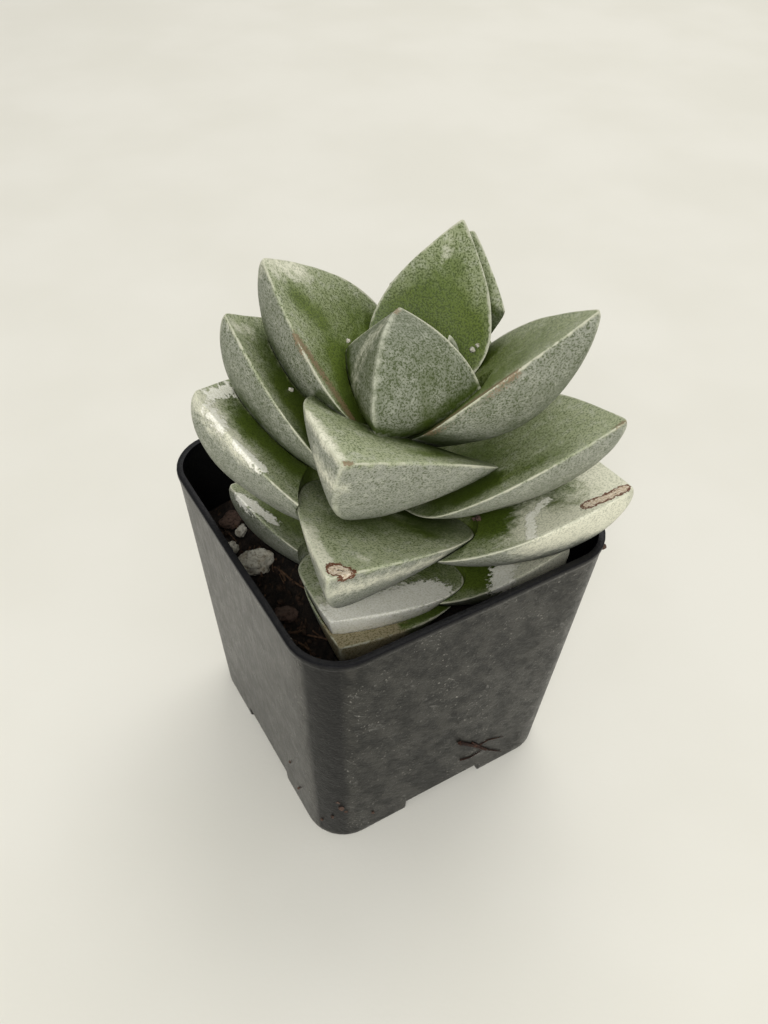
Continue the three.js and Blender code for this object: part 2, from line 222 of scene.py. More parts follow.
STEM_RINGS = dict(depth=0.05, pace=2.4)
ROOT_END = 0.45  # a root's last radius, as a share of its first
GRAIN_CORE = 0.88
GRAIN_FLANK = 0.8
GRAIN_LUMPS = ((0.55, 0.22), (0.22, 0.10), (1.1, 0.30))
SOIL_LUMPS = ((5, 0.7), (2, 0.5), (0.9, 0.3))
SOIL_SINK = 0.3
SOIL_RINGS = 70
CRUMB_SEED = 11
CRUMBS = 520
FIBRES = 260
CRUMB_SIZE = (0.25, 0.8)
FIBRE_LENGTH = (2, 6)
FIBRE_RADIUS = (0.09, 0.2)

# Small things caught on the plant and the pot: place and radius.
LEAF_CRUMBS = ((15.6, 0.6, 82.4, 0.55), (16.5, 0.5, 83.1, 0.45), (-2.9, 8, 85.6, 0.4),
               (-12.9, 8.2, 79.7, 0.45), (-13.6, 8.9, 80, 0.3))
POT_CRUMBS = ((9.1, -14.2, 60.6, 0.6), (8.4, -14, 60.7, 0.4), (25.4, -27.1, 57.6, 0.6),
              (-22.7, -24.6, 14, 0.45), (-22.2, -24.9, 12, 0.6), (-21.4, -25.1, 10.4, 0.4),
              (-23.4, -23.7, 8, 0.4), (-16, -25.7, 6, 0.35), (-24.6, -21.8, 5, 0.35),
              (-25.9, -15, 7, 0.3), (-26, -12, 12, 0.35))

# Bits of root on the pot's front wall: knots along the wall and up it, and radius.
WALL_FIBRES = (
    (((1.5, 17), (3, 15.5), (6, 12), (9, 8)), 0.45),
    (((5, 14), (8, 9.5), (10, 7), (13.5, 3.5)), 0.28),
    (((6.5, 11), (9, 11.5), (13, 9.5)), 0.16),
    (((3, 9), (5.5, 8), (8, 8.5)), 0.2),
)

# Dark, light and chip colours of the crumbly materials, then pit, face and dust colours of the grains.
EARTH = {
    "stem_tissue": ((0.16, 0.12, 0.07), (0.30, 0.25, 0.15), (0.10, 0.07, 0.04)),
    "potting_soil": ((0.004, 0.003, 0.002), (0.018, 0.011, 0.007), (0.060, 0.034, 0.018)),
    "peat_crumbs": ((0.010, 0.006, 0.004), (0.050, 0.028, 0.016), (0.090, 0.055, 0.030)),
    "peat_fibres": ((0.040, 0.022, 0.012), (0.110, 0.062, 0.034), (0.160, 0.095, 0.055)),
    "root_bits": ((0.010, 0.005, 0.004), (0.045, 0.018, 0.010), (0.110, 0.045, 0.025)),
}
GRAINS = {
    "perlite": ((0.20, 0.18, 0.13), (0.55, 0.53, 0.45), (0.36, 0.30, 0.21)),
    "bark": ((0.020, 0.012, 0.008), (0.085, 0.052, 0.038), (0.13, 0.095, 0.075)),
}

# The photograph's viewpoint: angles in degrees, the focal length for a sensor 36 wide.
CAMERA = dict(azimuth=-32.06, elevation=44.02, roll=2.30, distance=201.14, target=(13.60, 21.91, 29.37),
              lens=33.56, sensor=36, clip_start=10)

# Soft lights: name, place, target, size, watts and colour.
LIGHTS = (
    ("window", (450, 400, 800), (0, 0, 50), 800, 4.3, (1.0, 0.985, 0.95)),
    ("front", (-440, -600, 720), (0, 0, 40), 400, 5.8, (1.0, 0.995, 0.985)),
    ("low", (-260, -500, 130), (0, 0, 60), 300, 0.6, (1.0, 0.995, 0.985)),
)
SKY = dict(colour=(1.0, 0.995, 0.975, 1), strength=0.52)
FLOOR_REACH = 3000


# -------- meshes

def mesh_piece(name, points, faces):
    """A mesh object from points in millimetres."""
    mesh = bpy.data.meshes.new(name)
    mesh.from_pydata((np.asarray(points, float) * MM).tolist(), [], faces)
    mesh.validate()
    piece = bpy.data.objects.new(name, mesh)
    bpy.context.scene.collection.objects.link(piece)
    return piece


def loft_faces(rings, around):
    """Quads between closed rings of points, with a cap on each end."""
    faces = [tuple(reversed(range(around)))]
    for i in range(rings - 1):
        low = i * around
        high = low + around
        for j in range(around):
            k = (j + 1) % around
            faces.append((low + j, low + k, high + k, high + j))
    faces.append(tuple(range((rings - 1) * around, rings * around)))
    return faces


def loft_shell(rings):
    """The points and faces of a closed solid through rings, an array of rings by points by 3."""
    rings = np.asarray(rings, float)
    return rings.reshape(-1, 3), loft_faces(*rings.shape[:2])


def loft(name, rings):
    return mesh_piece(name, *loft_shell(rings))


def joined(name, shells):
    """One mesh from several shells, each given by its points and faces."""
    points = []
    faces = []
    for shell_points, shell_faces in shells:
        start = len(points)
        points.extend(shell_points)
        faces.extend(tuple(start + i for i in face) for face in shell_faces)
    return mesh_piece(name, points, faces)


def ball(subdivisions):
    """The points and faces of a ball of radius 1."""
    model = bmesh.new()
    bmesh.ops.create_icosphere(model, subdivisions=subdivisions, radius=1)
    points = np.array([vert.co for vert in model.verts])
    faces = [tuple(vert.index for vert in face.verts) for face in model.faces]
    model.free()
    return points, faces


def apply_modifiers(piece):
    depsgraph = bpy.context.evaluated_depsgraph_get()
    mesh = bpy.data.meshes.new_from_object(piece.evaluated_get(depsgraph))
    piece.modifiers.clear()
    old = piece.data
    piece.data = mesh
    bpy.data.meshes.remove(old)


def combine(piece, others, operation):
    """Cuts other solids from the piece, or joins them to it."""
    for other in others:
        modifier = piece.modifiers.new("solid", "BOOLEAN")
        modifier.operation = operation
        modifier.solver = "MANIFOLD"
        modifier.object = other
    apply_modifiers(piece)


def remove(pieces):
    for piece in pieces:
        bpy.data.objects.remove(piece)


def box_of(piece):
    points = coordinates(piece)
    return points.min(0), points.max(0)


def boxes_meet(a, b):
    return bool(np.all(a[0] <= b[1]) and np.all(b[0] <= a[1]))


def coordinates(piece):
    """The piece's points, in millimetres."""
    points = np.empty(len(piece.data.vertices) * 3)
    piece.data.vertices.foreach_get("co", points)
    return points.reshape(-1, 3) / MM


def move_points(piece, points):
    piece.data.vertices.foreach_set("co", (points * MM).ravel())
    piece.data.update()


def keep_largest(piece):
    """Drops the loose slivers that a cut can leave."""
    model = bmesh.new()
    model.from_mesh(piece.data)
    islands = []
    seen = set()
    for start in model.verts:
        if start in seen:
            continue
        island = {start}
        edge = [start]
        while edge:
            for link in edge.pop().link_edges:
                for vert in link.verts:
                    if vert not in island:
                        island.add(vert)
                        edge.append(vert)
        seen |= island
        islands.append(island)
    largest = max(islands, key=len)
    bmesh.ops.delete(model, geom=[vert for vert in model.verts if vert not in largest], context="VERTS")
    model.to_mesh(piece.data)
    model.free()


def smooth(piece, limit=SHARP_EDGE):
    """Smooth shading that keeps the edges sharper than the limit."""
    model = bmesh.new()
    model.from_mesh(piece.data)
    for face in model.faces:
        face.smooth = True
    for edge in model.edges:
        edge.smooth = edge.calc_face_angle(0) < limit
    model.to_mesh(piece.data)
    model.free()


def dress(piece, material, slot, *nodes, limit=SHARP_EDGE):
    """Gives a finished piece its material in place of CAD nodes and sets it on the body; slot is not used.
    """
    smooth(piece, limit)
    piece.data.materials.clear()
    piece.data.materials.append(material)
    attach(piece, "root")
    if nodes:
        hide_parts(*nodes)


def add_attribute(piece, name, values):
    layer = piece.data.attributes.new(name, "FLOAT", "POINT")
    layer.data.foreach_set("value", np.ascontiguousarray(values, np.float32))


def noise_at(points, size, seed=0):
    """Perlin noise with features of that size, from about -1 to 1, at each point."""
    shift = Vector((seed * 7.3, seed * 3.1, seed * 5.7))
    return np.array([noise.noise(Vector(point) / size + shift) for point in points])


def lumps_at(points, rows, seed, seed_step=1):
    """Noise of several sizes added together, each row with its size and height."""
    return sum(noise_at(points, size, seed + i * seed_step) * height
               for i, (size, height) in enumerate(rows))


def ease(values, low, high):
    """0 below low and 1 above high, with a smooth rise between."""
    share = np.clip((values - low) / (high - low), 0, 1)
    return share * share * (3 - 2 * share)


# -------- materials

class Paint:
    """A material under construction, with short calls for the nodes it is made from."""

    def __init__(self, name, shader_values=None):
        self.material = bpy.data.materials.new(name)
        self.material.use_nodes = True
        self.tree = self.material.node_tree
        self.tree.nodes.clear()
        self.shader = self.node("ShaderNodeBsdfPrincipled", shader_values)
        output = self.tree.nodes.new("ShaderNodeOutputMaterial")
        self.tree.links.new(self.shader.outputs[0], output.inputs["Surface"])
        self.place = self.node("ShaderNodeTexCoord").outputs["Object"]

    def node(self, kind, inputs=None, **settings):
        node = self.tree.nodes.new(kind)
        for key, value in settings.items():
            setattr(node, key, value)
        for key, value in (inputs or {}).items():
            self.connect(node.inputs[key], value)
        return node

    def connect(self, socket, value):
        if isinstance(value, bpy.types.NodeSocket):
            self.tree.links.new(value, socket)
        else:
            socket.default_value = value

    def attribute(self, name):
        return self.node("ShaderNodeAttribute", attribute_name=name).outputs["Fac"]

    def stretched(self, scale, turn=(0, 0, 0)):
        """Object coordinates turned, then scaled along each axis."""
        turned = self.node("ShaderNodeMapping", {"Vector": self.place, "Rotation": turn})
        return self.node("ShaderNodeMapping", {"Vector": turned.outputs[0], "Scale": scale}).outputs[0]

    def noise(self, size, detail=2.0, roughness=0.5, place=None, distortion=0.0):
        """Noise whose features are about that many millimetres across."""
        values = {
            "Vector": place or self.place,
            "Scale": 1 / (size * MM),
            "Detail": detail,
            "Roughness": roughness,
            "Distortion": distortion,
        }
        return self.node("ShaderNodeTexNoise", values).outputs["Fac"]

    def rise(self, value, low, high, bottom=0.0, top=1.0):
        """Goes smoothly from bottom to top as the value goes from low to high."""
        values = {"Value": value, "From Min": low, "From Max": high, "To Min": bottom, "To Max": top}
        node = self.node("ShaderNodeMapRange", values, interpolation_type="SMOOTHSTEP")
        return node.outputs[0]

    def math(self, operation, a, b=0.0):
        return self.node("ShaderNodeMath", {0: a, 1: b}, operation=operation).outputs[0]

    def plus(self, a, b):
        return self.math("ADD", a, b)

    def less(self, a, b):
        return self.math("SUBTRACT", a, b)

    def times(self, a, b):
        return self.math("MULTIPLY", a, b)

    def ragged(self, value, noise, amount, spread=0.2):
        """The value with noise added, up to that amount each way."""
        return self.plus(value, self.rise(noise, 0.5 - spread, 0.5 + spread, -amount, amount))

    def mix(self, factor, a, b):
        node = self.node("ShaderNodeMix", data_type="RGBA")
        self.connect(node.inputs["Factor"], factor)
        for key, colour in ((6, a), (7, b)):
            is_socket = isinstance(colour, bpy.types.NodeSocket)
            self.connect(node.inputs[key], colour if is_socket else (*colour, 1))
        return node.outputs[2]

    def blend(self, factor, a, b):
        return self.node("ShaderNodeMix", {"Factor": factor, 2: a, 3: b}).outputs[0]

    def bump(self, height, depth):
        """Bump of that depth in millimetres."""
        values = {"Height": height, "Distance": depth * MM, "Strength": 1.0}
        return self.node("ShaderNodeBump", values).outputs[0]

    def finish(self, colour, roughness, normal):
        self.connect(self.shader.inputs["Base Color"], colour)
        self.connect(self.shader.inputs["Roughness"], roughness)
        self.connect(self.shader.inputs["Normal"], normal)
        return self.material


def leaf_paint():
    """Green skin under a powdery bloom, with pale margins and the marks that each leaf carries."""
    paint = Paint("leaf_skin", {"Specular IOR Level": 0.3})
    rise, mix, ragged = paint.rise, paint.mix, paint.ragged
    plus, less, times = paint.plus, paint.less, paint.times
    upper, edge, keel, shade, tip, bloom = (
        paint.attribute(name) for name in ("upper", "edge", "keel", "shade", "tip", "bloom"))
    crust, film, rub, rust, scar, tan = (paint.attribute(kind) for kind in MARK_KINDS)
    rub = rise(rub, -0.35, 0.9)
    speckle = paint.noise(0.30, detail=2, roughness=0.6)
    torn = paint.noise(0.8, detail=4, roughness=0.7)
    mottle = paint.noise(1.5, detail=4, roughness=0.7)
    cloud = paint.noise(8, detail=2)
    dots = rise(speckle, 0.36, 0.56)

    green = mix(cloud, (0.072, 0.115, 0.014), (0.132, 0.172, 0.026))
    green = mix(upper, (0.078, 0.098, 0.036), green)
    # Painted shade: darker green where another leaf stands close over the skin.
    green = mix(shade, green, (0.050, 0.078, 0.008))
    green = mix(rise(speckle, 0.40, 0.56, 0.7, 0.0), green, (0.032, 0.050, 0.006))
    powder = mix(upper, (0.285, 0.295, 0.245), (0.320, 0.350, 0.215))
    powder = mix(rise(mottle, 0.45, 0.75, 0, 0.7), powder, (0.410, 0.420, 0.340))

    # The bloom is thicker near the margins and the tip, and thin where rubbed or in the painted shade.
    margins = plus(rise(edge, 0.5, 6, 0.16, -0.12), rise(tip, 0.2, 0.95, -0.28, 0.14))
    cover = plus(0.90, bloom)
    cover = plus(cover, times(upper, less(margins, 0.06)))
    cover = less(cover, times(rub, 0.55))
    cover = less(cover, times(shade, 0.45))
    cover = ragged(cover, mottle, 0.09)
    cover = ragged(cover, cloud, 0.08)
    cover = times(cover, plus(0.34, times(dots, 0.72)))
    colour = mix(rise(cover, 0.0, 0.95), green, powder)

    browned = mix(rise(dots, 0.2, 0.9), (0.170, 0.140, 0.065), (0.330, 0.290, 0.180))
    colour = mix(rise(ragged(tan, mottle, 0.2), -0.1, 0.3), colour, browned)
    filmed = less(ragged(film, mottle, 0.25), times(rub, 0.6))
    filmed = times(rise(filmed, -0.2, 0.85, 0.0, 0.95), rise(dots, 0, 1, 0.6, 1.0))
    colour = mix(filmed, colour, (0.700, 0.690, 0.550))

    pale = rise(ragged(edge, mottle, 0.25), 0.15, 0.65, 0.85, 0.0)
    # Painted shade: the pale margins fade where another leaf stands close.
    pale = times(pale, rise(shade, 0.2, 0.9, 1, 0.15))
    colour = mix(pale, colour, (0.520, 0.520, 0.400))
    ridge = times(rise(keel, 0.15, 0.75, 1, 0), rise(mottle, 0.35, 0.6, 0.15, 0.6))
    # Painted shade: the pale keel ridge fades there too.
    ridge = times(ridge, rise(shade, 0.1, 0.6, 1, 0))
    colour = mix(ridge, colour, (0.48, 0.49, 0.38))

    rusty = rise(ragged(rust, speckle, 0.35), 0.35, 0.65)
    colour = mix(times(rusty, 0.85), colour, (0.190, 0.130, 0.070))
    crusty = rise(ragged(crust, torn, 0.45, 0.25), 0.0, 0.22)
    chalk = mix(rise(speckle, 0.35, 0.6), (0.70, 0.69, 0.57), (0.86, 0.85, 0.76))
    colour = mix(crusty, colour, chalk)

    # A scar has a dark rim, a corky middle and a black pit.
    wound = ragged(scar, torn, 0.3, 0.25)
    corky = mix(rise(speckle, 0.4, 0.6), (0.46, 0.36, 0.25), (0.66, 0.58, 0.46))
    colour = mix(rise(wound, 0.0, 0.06), colour, (0.120, 0.048, 0.024))
    colour = mix(rise(wound, 0.28, 0.38), colour, corky)
    colour = mix(rise(wound, 0.93, 0.99), colour, (0.03, 0.02, 0.012))

    height = plus(times(speckle, 0.5), times(mottle, 0.5))
    height = plus(height, times(crusty, 0.8))
    roughness = rise(cover, 0.0, 0.9, 0.42, 0.70)
    roughness = paint.math("MAXIMUM", roughness, times(crusty, 0.9))
    return paint.finish(colour, roughness, paint.bump(height, 0.08))


def pot_paint():
    """Thin dark plastic, a dull shine, streaks of dust and painted reflection, scuffs and small scratches.
    """
    paint = Paint("pot_plastic", {"Specular IOR Level": 0.18})
    rise, mix, plus, times = paint.rise, paint.mix, paint.plus, paint.times
    grime = paint.noise(9, detail=6, roughness=0.65)
    blots = paint.noise(3.0, detail=6, roughness=0.7, place=paint.stretched((1, 1, 0.6), (0, 0.6, 0)))
    streaks = paint.noise(1.3, detail=6, roughness=0.7, place=paint.stretched((1, 1, 0.3)))
    slanted = paint.stretched((1, 1, 0.25), (0, 0.9, 0))
    scuffs = paint.noise(1.1, detail=4, roughness=0.65, place=slanted, distortion=1.2)
    specks = paint.noise(0.5, detail=2)
    inside_shade = paint.attribute("inside_shade")
    lip = paint.attribute("lip")

    # Upright streaks show on the left and right walls only, in place of the scuffs' relief.
    facing = paint.node("ShaderNodeSeparateXYZ", {0: paint.node("ShaderNodeNewGeometry").outputs["Normal"]})
    sideways = rise(paint.math("ABSOLUTE", facing.outputs[0]), 0.75, 0.95)
    worn = paint.blend(sideways, scuffs, streaks)
    # The streaks' pale colour is partly dust and partly painted reflection.
    streak_and_reflection = times(sideways, rise(streaks, 0.34, 0.62))
    scratch = times(rise(scuffs, 0.59, 0.64), rise(grime, 0.48, 0.58))
    dust = times(rise(specks, 0.65, 0.70), rise(grime, 0.42, 0.6))

    colour = mix(rise(blots, 0.40, 0.60), (0.006, 0.006, 0.005), (0.027, 0.026, 0.022))
    for factor, tint in (
        # Pale streaks: dust and painted reflection.
        (streak_and_reflection, (0.072, 0.070, 0.064)),
        (rise(grime, 0.5, 0.72, 0, 0.55), (0.042, 0.040, 0.034)),
        (times(scratch, 0.8), (0.100, 0.098, 0.090)),
        (times(dust, 0.8), (0.26, 0.25, 0.22)),
        # Painted shade inside the pot, and on its rounded corners.
        (inside_shade, (0.004, 0.004, 0.004)),
        (lip, (0.002, 0.002, 0.003)),
    ):
        colour = mix(factor, colour, tint)

    roughness = plus(rise(worn, 0.35, 0.7, 0.26, 0.40), rise(blots, 0.40, 0.60, 0.05, 0.0))
    height = plus(times(worn, 0.6), times(specks, 0.4))
    height = plus(height, times(blots, 1.2))
    return paint.finish(colour, paint.blend(lip, roughness, 0.34), paint.bump(height, 0.12))


def earth_paint(name):
    dark, light, chips = EARTH[name]
    paint = Paint(name, {"Specular IOR Level": 0.25})
    crumbs = paint.noise(1.1, detail=5, roughness=0.7)
    fibre = paint.noise(0.5, detail=3, place=paint.stretched((1, 0.2, 0.5), (0.4, 0.3, 0.8)))
    colour = paint.mix(paint.rise(crumbs, 0.35, 0.7), dark, light)
    colour = paint.mix(paint.rise(fibre, 0.60, 0.72, 0, 0.8), colour, chips)
    height = paint.plus(crumbs, paint.times(fibre, 0.5))
    return paint.finish(colour, paint.rise(crumbs, 0.3, 0.7, 0.95, 0.75), paint.bump(height, 0.35))


def grain_paint(name):
    pit, face, dust = GRAINS[name]
    paint = Paint(name, {"Specular IOR Level": 0.3})
    pores = paint.noise(0.7, detail=5, roughness=0.7)
    tint = paint.noise(2.4, detail=2)
    colour = paint.mix(paint.rise(pores, 0.32, 0.55), pit, face)
    colour = paint.mix(paint.rise(tint, 0.5, 0.75, 0, 0.6), colour, dust)
    return paint.finish(colour, paint.rise(pores, 0.3, 0.7, 0.95, 0.8), paint.bump(pores, 0.3))


# -------- leaves

def half_width(leaf, t):
    widest = LEAF_FORM["widest"]
    base = LEAF_FORM["base_width"]
    swell = base + (1 - base) * np.sin(np.pi / 2 * t / widest)
    taper = 1 - (np.clip(t - widest, 0, 1) / (1 - widest)) ** LEAF_FORM["taper"]
    return leaf["half_width"] * np.where(t < widest, swell, taper)


def keel_depth(leaf, t):
    base = LEAF_FORM["base_keel"]
    swell = base + (1 - base) * np.sin(np.pi / 2 * np.minimum(t / LEAF_FORM["deepest"], 1))
    return leaf["keel"] * (swell * (1 - t ** leaf["bluntness"]) ** LEAF_FORM["keel_tip"])


def pinched(leaf, t, half, side):
    """The half width, narrower near the base where side is negative, on the left of the leaf."""
    pinch = leaf["pinch"] * np.maximum(0, 1 - t / LEAF_FORM["pinch_end"])
    return half * np.where(side < 0, 1 - pinch, 1)


def crown(share, ridge=LEAF_FORM["ridge"]):
    """The lower face's depth at a share of the way across, as a share of the keel."""
    return (1 - np.abs(share) ** ridge) ** LEAF_FORM["flank"]


def dished(half, share):
    """The level of the slightly hollow upper face."""
    return -LEAF_FORM["dish"] * half * (1 - share ** 2)


def leaf_pitch(leaf, t):
    return np.radians(leaf["base_pitch"] + (leaf["tip_pitch"] - leaf["base_pitch"]) * t)


def leaf_frames(leaf, t):
    """Points along the middle of the upper face at shares t of the length, with their directions."""
    heading = math.radians(leaf["heading"])
    roll = math.radians(leaf["roll"])
    out = np.array([math.sin(heading), -math.cos(heading), 0])
    side = np.array([math.cos(heading), math.sin(heading), 0])
    rise = np.array([0, 0, 1])

    def directions(pitch):
        return np.cos(pitch)[:, None] * out + np.sin(pitch)[:, None] * rise

    fine = np.linspace(0, 1, 400)
    middles = (fine[1:] + fine[:-1]) / 2
    steps = directions(leaf_pitch(leaf, middles - LEAF_LAG)) * leaf["length"] / len(middles)
    line = np.vstack([np.zeros(3), np.cumsum(steps, 0)])
    start = np.array([STEM["x"], STEM["y"], SOIL_TOP + leaf["height"]]) + out * (STEM["radius"] + CAD_GAP)
    points = start + np.column_stack([np.interp(t, fine, line[:, axis]) for axis in range(3)])
    along = directions(leaf_pitch(leaf, t))
    across = side * math.cos(roll) + np.cross(along, side) * math.sin(roll)
    up = np.cross(along, across)
    points = points + across * (leaf["sweep"] * t * t)[:, None]
    return points, along, across, up


def section(around):
    """Shares of the half width round a leaf, from one margin over the upper face and back under the keel."""
    over = np.cos(np.pi * np.arange(around) / around)
    inward = 1 - ease(np.linspace(0, 1, around // 2 + 1), 0, 1)
    shares = np.concatenate([over, -inward, inward[-2:0:-1]])
    return shares, np.arange(2 * around) < around


def leaf_rings(leaf, t, around, grow=0.0, cover=0.0):
    """Rings round a leaf, grown all round, with the room above its upper face if a cover is asked for."""
    points, _, across, up = leaf_frames(leaf, t)
    shares, is_upper = section(around)
    t = t[:, None]
    half = half_width(leaf, t)
    ridge = CRISP_RIDGE.get(leaf["name"], LEAF_FORM["ridge"])
    over = grow + (cover or dished(half, shares))
    under = -keel_depth(leaf, t) * crown(shares, ridge) - grow
    level = np.where(is_upper, over, under)
    level[:, [0, around]] = 0
    width = (pinched(leaf, t, half, shares) + grow) * shares
    return points[:, None] + across[:, None] * width[..., None] + up[:, None] * level[..., None]


def leaf_shares(stations):
    """Shares of the length, closer together towards the tip."""
    return LEAF_END * (1 - (1 - np.linspace(0, 1, stations)) ** 1.5)


def bevel_margins(piece, around, stations):
    """Rounds the two margins a little."""
    model = bmesh.new()
    model.from_mesh(piece.data)
    model.verts.ensure_lookup_table()
    edges = []
    for start in (0, around):
        for i in range(stations - BEVEL_END):
            pair = (model.verts[i * 2 * around + start], model.verts[(i + 1) * 2 * around + start])
            edges.append(model.edges.get(pair))
    bmesh.ops.bevel(model, geom=edges, offset=MARGIN_BEVEL * MM, segments=4, profile=0.5, affect="EDGES",
                    clamp_overlap=True)
    model.to_mesh(piece.data)
    model.free()


def round_tip(rings, t):
    """Softens the leaf towards its tip by drawing points to the middle of their neighbours."""
    strength = (0.04 + 0.46 * ease(t, 0.55, 0.95))[1:, None, None]
    for _ in range(TIP_ROUNDING):
        end = np.broadcast_to(rings[-1].mean(0), rings[-1:].shape)
        ahead = np.concatenate([rings[2:], end])
        beside = np.roll(rings, 1, 1)[1:] + np.roll(rings, -1, 1)[1:]
        middle = (ahead + rings[:-1] + beside) / 4
        rings[1:] += strength * (middle - rings[1:])
    return rings


def leaf_solid(leaf):
    shares = leaf_shares(LEAF_STATIONS)
    rings = leaf_rings(leaf, shares, LEAF_AROUND)
    if leaf["name"] not in CRISP_RIDGE:
        rings = round_tip(rings, shares)
    seed = LEAVES.index(leaf)
    outward = rings - rings.mean(1, keepdims=True)
    outward /= np.linalg.norm(outward, axis=2, keepdims=True) + 1e-9
    swell = lumps_at(rings.reshape(-1, 3), LEAF_LUMPS, seed, 0)
    rings = rings + outward * swell.reshape(rings.shape[:2])[..., None]
    piece = loft(leaf["name"] + "_flesh", rings)
    bevel_margins(piece, LEAF_AROUND, LEAF_STATIONS)
    return piece


def leaf_cover(leaf):
    """The leaf with a small clearance and the room above it, as lower leaves see it."""
    shares = leaf_shares(COVER_STATIONS)
    rings = leaf_rings(leaf, shares, COVER_AROUND, LEAF_GAP, LEAF_COVER * leaf["length"])
    along = leaf_frames(leaf, np.array([0, LEAF_END]))[1]
    first = rings[0] - along[0] * LEAF_GAP
    last = rings[-1] + along[1] * LEAF_GAP
    return loft(leaf["name"] + "_cover", [first, *rings, last])


def paint_leaf(piece, leaf):
    """Attributes that tell the leaf's material where it is: upper face, margins, keel and tip."""
    points = coordinates(piece)
    stations = np.linspace(0, LEAF_END, 160)
    middle, along, across, up = leaf_frames(leaf, stations)
    gap = points[:, None] - middle
    ahead = np.einsum("ptc,tc->pt", gap, along)
    # The station level with each point, and of two such stations the nearer.
    nearest = (np.abs(ahead) + 0.15 * np.linalg.norm(gap, axis=2)).argmin(1)
    offset = gap[np.arange(len(points)), nearest]
    t = stations[nearest]
    side = np.einsum("pc,pc->p", offset, across[nearest])
    level = np.einsum("pc,pc->p", offset, up[nearest])
    half = half_width(leaf, t)
    share = np.clip(side / pinched(leaf, t, half, side), -1, 1)
    bottom = -keel_depth(leaf, t) * crown(share)
    top = dished(half, share)

    upper = ease((level - bottom) / np.maximum(top - bottom, 0.3), 0.3, 0.8)
    margin = np.hypot((1 - np.abs(share)) * half, np.maximum(-level, 0))
    add_attribute(piece, "upper", upper)
    add_attribute(piece, "edge", np.minimum(margin, (1 - t) * leaf["length"]))
    add_attribute(piece, "keel", np.abs(side) + upper * 9)
    add_attribute(piece, "tip", t)


def skin_point(leaf, face, place):
    """The point on a leaf's upper or lower face at shares along and across it."""
    t, share = (np.array([value]) for value in place)
    middle, _, across, up = leaf_frames(leaf, t)
    half = half_width(leaf, t)
    level = dished(half, share) if face == "upper" else -keel_depth(leaf, t) * crown(share)
    return (middle + across * pinched(leaf, t, half, share) * share + up * level)[0]


def mark_field(points, start, end, radius):
    """1 along the line from start to end, 0 at the radius, and down to -1 further off."""
    line = end - start
    share = np.clip((points - start) @ line / (line @ line), 0, 1)
    distance = np.linalg.norm(points - start - share[:, None] * line, axis=1)
    return np.clip(1 - distance / radius, -1, 1)


def paint_marks(piece, leaf, points):
    for kind in MARK_KINDS:
        field = np.full(len(points), -1.0)
        for mark_kind, face, start, end, radius, strength in MARKS.get(leaf["name"], ()):
            if mark_kind == kind:
                line = skin_point(leaf, face, start), skin_point(leaf, face, end)
                field = np.maximum(field, mark_field(points, *line, radius) + strength - 1)
        add_attribute(piece, kind, field)


def leaf_shade(points, normals, tree):
    """How closely another leaf stands over each point, 0 to 1, for the painted shade on the skin."""
    reach = SHADE_REACH * MM
    closeness = np.zeros(len(points))
    for i, (point, normal) in enumerate(zip(points, normals)):
        start = Vector((point + normal * 0.3) * MM)
        hit = tree.ray_cast(start, Vector(normal), reach)[0]
        if hit:
            closeness[i] = 1 - (hit - start).length / reach
    return closeness


def make_leaves(material):
    covers = []
    pieces = []
    keep_out = pot_keep_out()
    stem = stem_solid("stem_room", CAD_GAP)
    for leaf in LEAVES:
        piece = leaf_solid(leaf)
        box = box_of(piece)
        cutters = [keep_out, stem] + [cover for cover in covers if boxes_meet(box, box_of(cover))]
        combine(piece, cutters, "DIFFERENCE")
        keep_largest(piece)
        covers.append(leaf_cover(leaf))
        pieces.append(piece)
    remove([keep_out, stem, *covers])
    trees = [BVHTree.FromObject(piece, bpy.context.evaluated_depsgraph_get()) for piece in pieces]
    for leaf, piece, own_tree in zip(LEAVES, pieces, trees):
        points = coordinates(piece)
        normals = np.array([vertex.normal for vertex in piece.data.vertices])
        shades = [leaf_shade(points, normals, tree) for tree in trees if tree is not own_tree]
        paint_leaf(piece, leaf)
        # Painted shade where another leaf stands close over the skin.
        add_attribute(piece, "shade", np.max(shades, axis=0))
        add_attribute(piece, "bloom", np.full(len(points), LEAF_BLOOM.get(leaf["name"], USUAL_BLOOM)))
        paint_marks(piece, leaf, points)
        dress(piece, material, "leaf_skin", leaf["name"])
    return pieces


# -------- pot

def rounded_square(width, corner, corner_steps=10, side_steps=14):
    """Points round a square with rounded corners, counterclockwise."""
    run = width / 2 - corner
    arcs = []
    for quarter, (x, y) in enumerate(((1, 1), (-1, 1), (-1, -1), (1, -1))):
        angles = (quarter + np.arange(corner_steps + 1) / corner_steps) * np.pi / 2
        arcs.append(np.column_stack([x * run + corner * np.cos(angles), y * run + corner * np.sin(angles)]))
    points = []
    for arc, following in zip(arcs, arcs[1:] + arcs[:1]):
        side = np.linspace(arc[-1], following[0], side_steps, endpoint=False)[1:]
        points += [*arc, *side]
    return np.array(points)


def pot_width(z):
    top = POT["rim_width"] - 2 * POT["lip_proud"]
    return POT["base_width"] + (top - POT["base_width"]) * z / POT["height"]


def pot_ring(inset, z):
    """The pot's outline at a height, set in from its outside."""
    corner = POT["rim_corner"] * pot_width(z) / pot_width(POT["height"]) - inset
    outline = rounded_square(pot_width(z) - 2 * inset, corner)
    return np.column_stack([outline, np.full(len(outline), z)])


def block(name, low, high):
    plan = ((low[0], low[1]), (high[0], low[1]), (high[0], high[1]), (low[0], high[1]))
    return loft(name, [[(x, y, z) for x, y in plan] for z in (low[2], high[2])])


def step_blocks(margin):
    """The raised steps under the bottom edges, grown by a margin."""
    far = 60
    reach = POT["base_width"] / 2 - STEP["depth"] - margin
    wide = STEP["width"] / 2 + margin
    top = STEP["height"] + margin
    spans = (((reach, -wide), (far, wide)), ((-far, -wide), (-reach, wide)),
             ((-wide, reach), (wide, far)), ((-wide, -far), (wide, -reach)))
    return [block("step", (*low, -far), (*high, top)) for low, high in spans]


